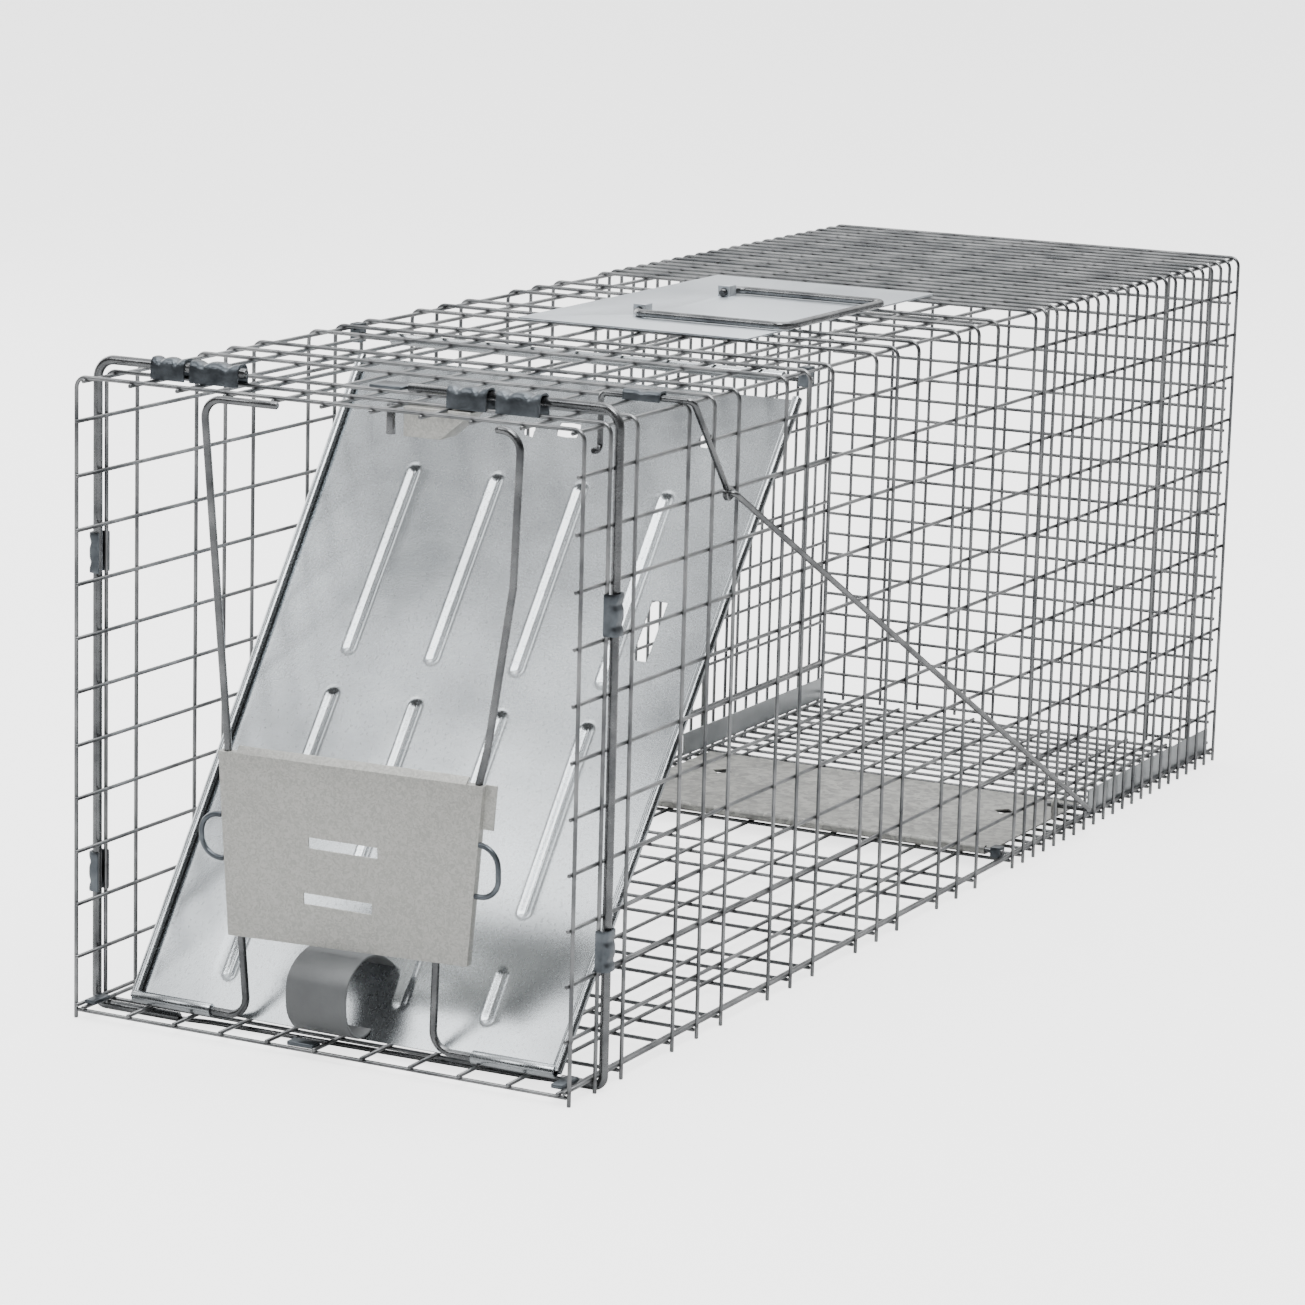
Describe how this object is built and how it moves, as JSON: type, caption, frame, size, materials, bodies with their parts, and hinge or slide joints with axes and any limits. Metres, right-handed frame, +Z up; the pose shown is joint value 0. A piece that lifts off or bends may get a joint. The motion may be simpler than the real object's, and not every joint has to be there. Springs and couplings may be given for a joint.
{
  "type": "live catch animal trap",
  "caption": "Welded wire cage trap with one sloping gravity door, a folding lock frame, a floor pan that works an outside trigger rod, and a carry handle on top.",
  "frame": {"origin": "centre of the footprint, on the ground", "axes": "+X to the right seen from the door end, +Y from the door end to the closed rear end, +Z up"},
  "size_m": [0.2773, 0.8267, 0.3139],
  "materials": {
    "mesh_wire": "galvanised wire, satin, darker at the welds",
    "bright_sheet": "bright galvanised sheet",
    "spangled_sheet": "galvanised sheet with a fine spangle, dull",
    "dull_sheet": "matt galvanised sheet",
    "clip_steel": "crimped clip steel, dull",
    "rod_steel": "zinc plated rod, satin"
  },
  "bodies": {
    "cage": {"top_mesh": "mesh_wire", "floor_mesh": "mesh_wire", "left_wall_mesh": "mesh_wire", "right_wall_mesh": "mesh_wire", "rear_wall_mesh": "mesh_wire", "frame_rod_left": "rod_steel", "frame_rod_right": "rod_steel", "frame_clip_top_1": "clip_steel", "frame_clip_top_2": "clip_steel", "frame_clip_top_3": "clip_steel", "frame_clip_top_4": "clip_steel", "frame_clip_left_1": "clip_steel", "frame_clip_left_2": "clip_steel", "frame_clip_right_1": "clip_steel", "frame_clip_right_2": "clip_steel", "frame_rod_tab": "clip_steel", "seam_clip_left": "clip_steel", "seam_clip_centre": "clip_steel", "seam_clip_right": "clip_steel", "stop_bracket": "spangled_sheet", "stop_pin": "rod_steel", "door_hinge_rod": "rod_steel", "hinge_hanger_left": "clip_steel", "hinge_hanger_right": "clip_steel", "handle_plate": "bright_sheet", "trigger_clip": "clip_steel", "pan_shaft": "rod_steel", "pan_bearing_left": "clip_steel", "pan_bearing_right": "clip_steel", "seam_strip_left": "dull_sheet", "seam_strip_right": "dull_sheet"},
    "door": {"door_panel": "bright_sheet", "door_pull": "dull_sheet", "pull_rivet_left": "clip_steel", "pull_rivet_right": "clip_steel"},
    "lock_frame": {"lock_rod_left": "rod_steel", "lock_rod_right": "rod_steel", "lock_plate": "spangled_sheet", "lock_loop_left": "clip_steel", "lock_loop_right": "clip_steel"},
    "handle": {"carry_handle": "rod_steel"},
    "trigger": {"trigger_wire": "rod_steel"},
    "rod": {"trigger_rod": "rod_steel"},
    "pan": {"treadle_pan": "spangled_sheet"}
  },
  "joints": [
    {"name": "door_swing", "type": "hinge", "parent": "cage", "child": "door", "pos_m": [0, -0.1676, 0.2987], "axis": [-1, 0, 0], "range_deg": [0, 48]},
    {"name": "lock_fold", "type": "hinge", "parent": "door", "child": "lock_frame", "pos_m": [0, -0.3906, 0.0101], "axis": [-1, 0, 0], "range_deg": [0, 41]},
    {"name": "handle_lift", "type": "hinge", "parent": "cage", "child": "handle", "pos_m": [-0.02145, 0, 0.3091], "axis": [0, -1, 0], "range_deg": [0, 178]},
    {"name": "pan_tip", "type": "hinge", "parent": "cage", "child": "pan", "pos_m": [0, 0.0964, 0.0097], "axis": [1, 0, 0], "range_deg": [0, 7.5]},
    {"name": "trigger_turn", "type": "hinge", "parent": "cage", "child": "trigger", "pos_m": [0, -0.3078, 0.3057], "axis": [-1, 0, 0], "range_deg": [0, 13.6]},
    {"name": "rod_swing", "type": "hinge", "parent": "trigger", "child": "rod", "pos_m": [0, -0.2694, 0.2587], "axis": [1, 0, 0], "range_deg": [0, 16.2]}
  ],
  "couplings": [
    {"joint": "trigger_turn", "follows": "pan_tip", "ratio": 1.8042},
    {"joint": "rod_swing", "follows": "pan_tip", "ratio": 2.1459}
  ]
}
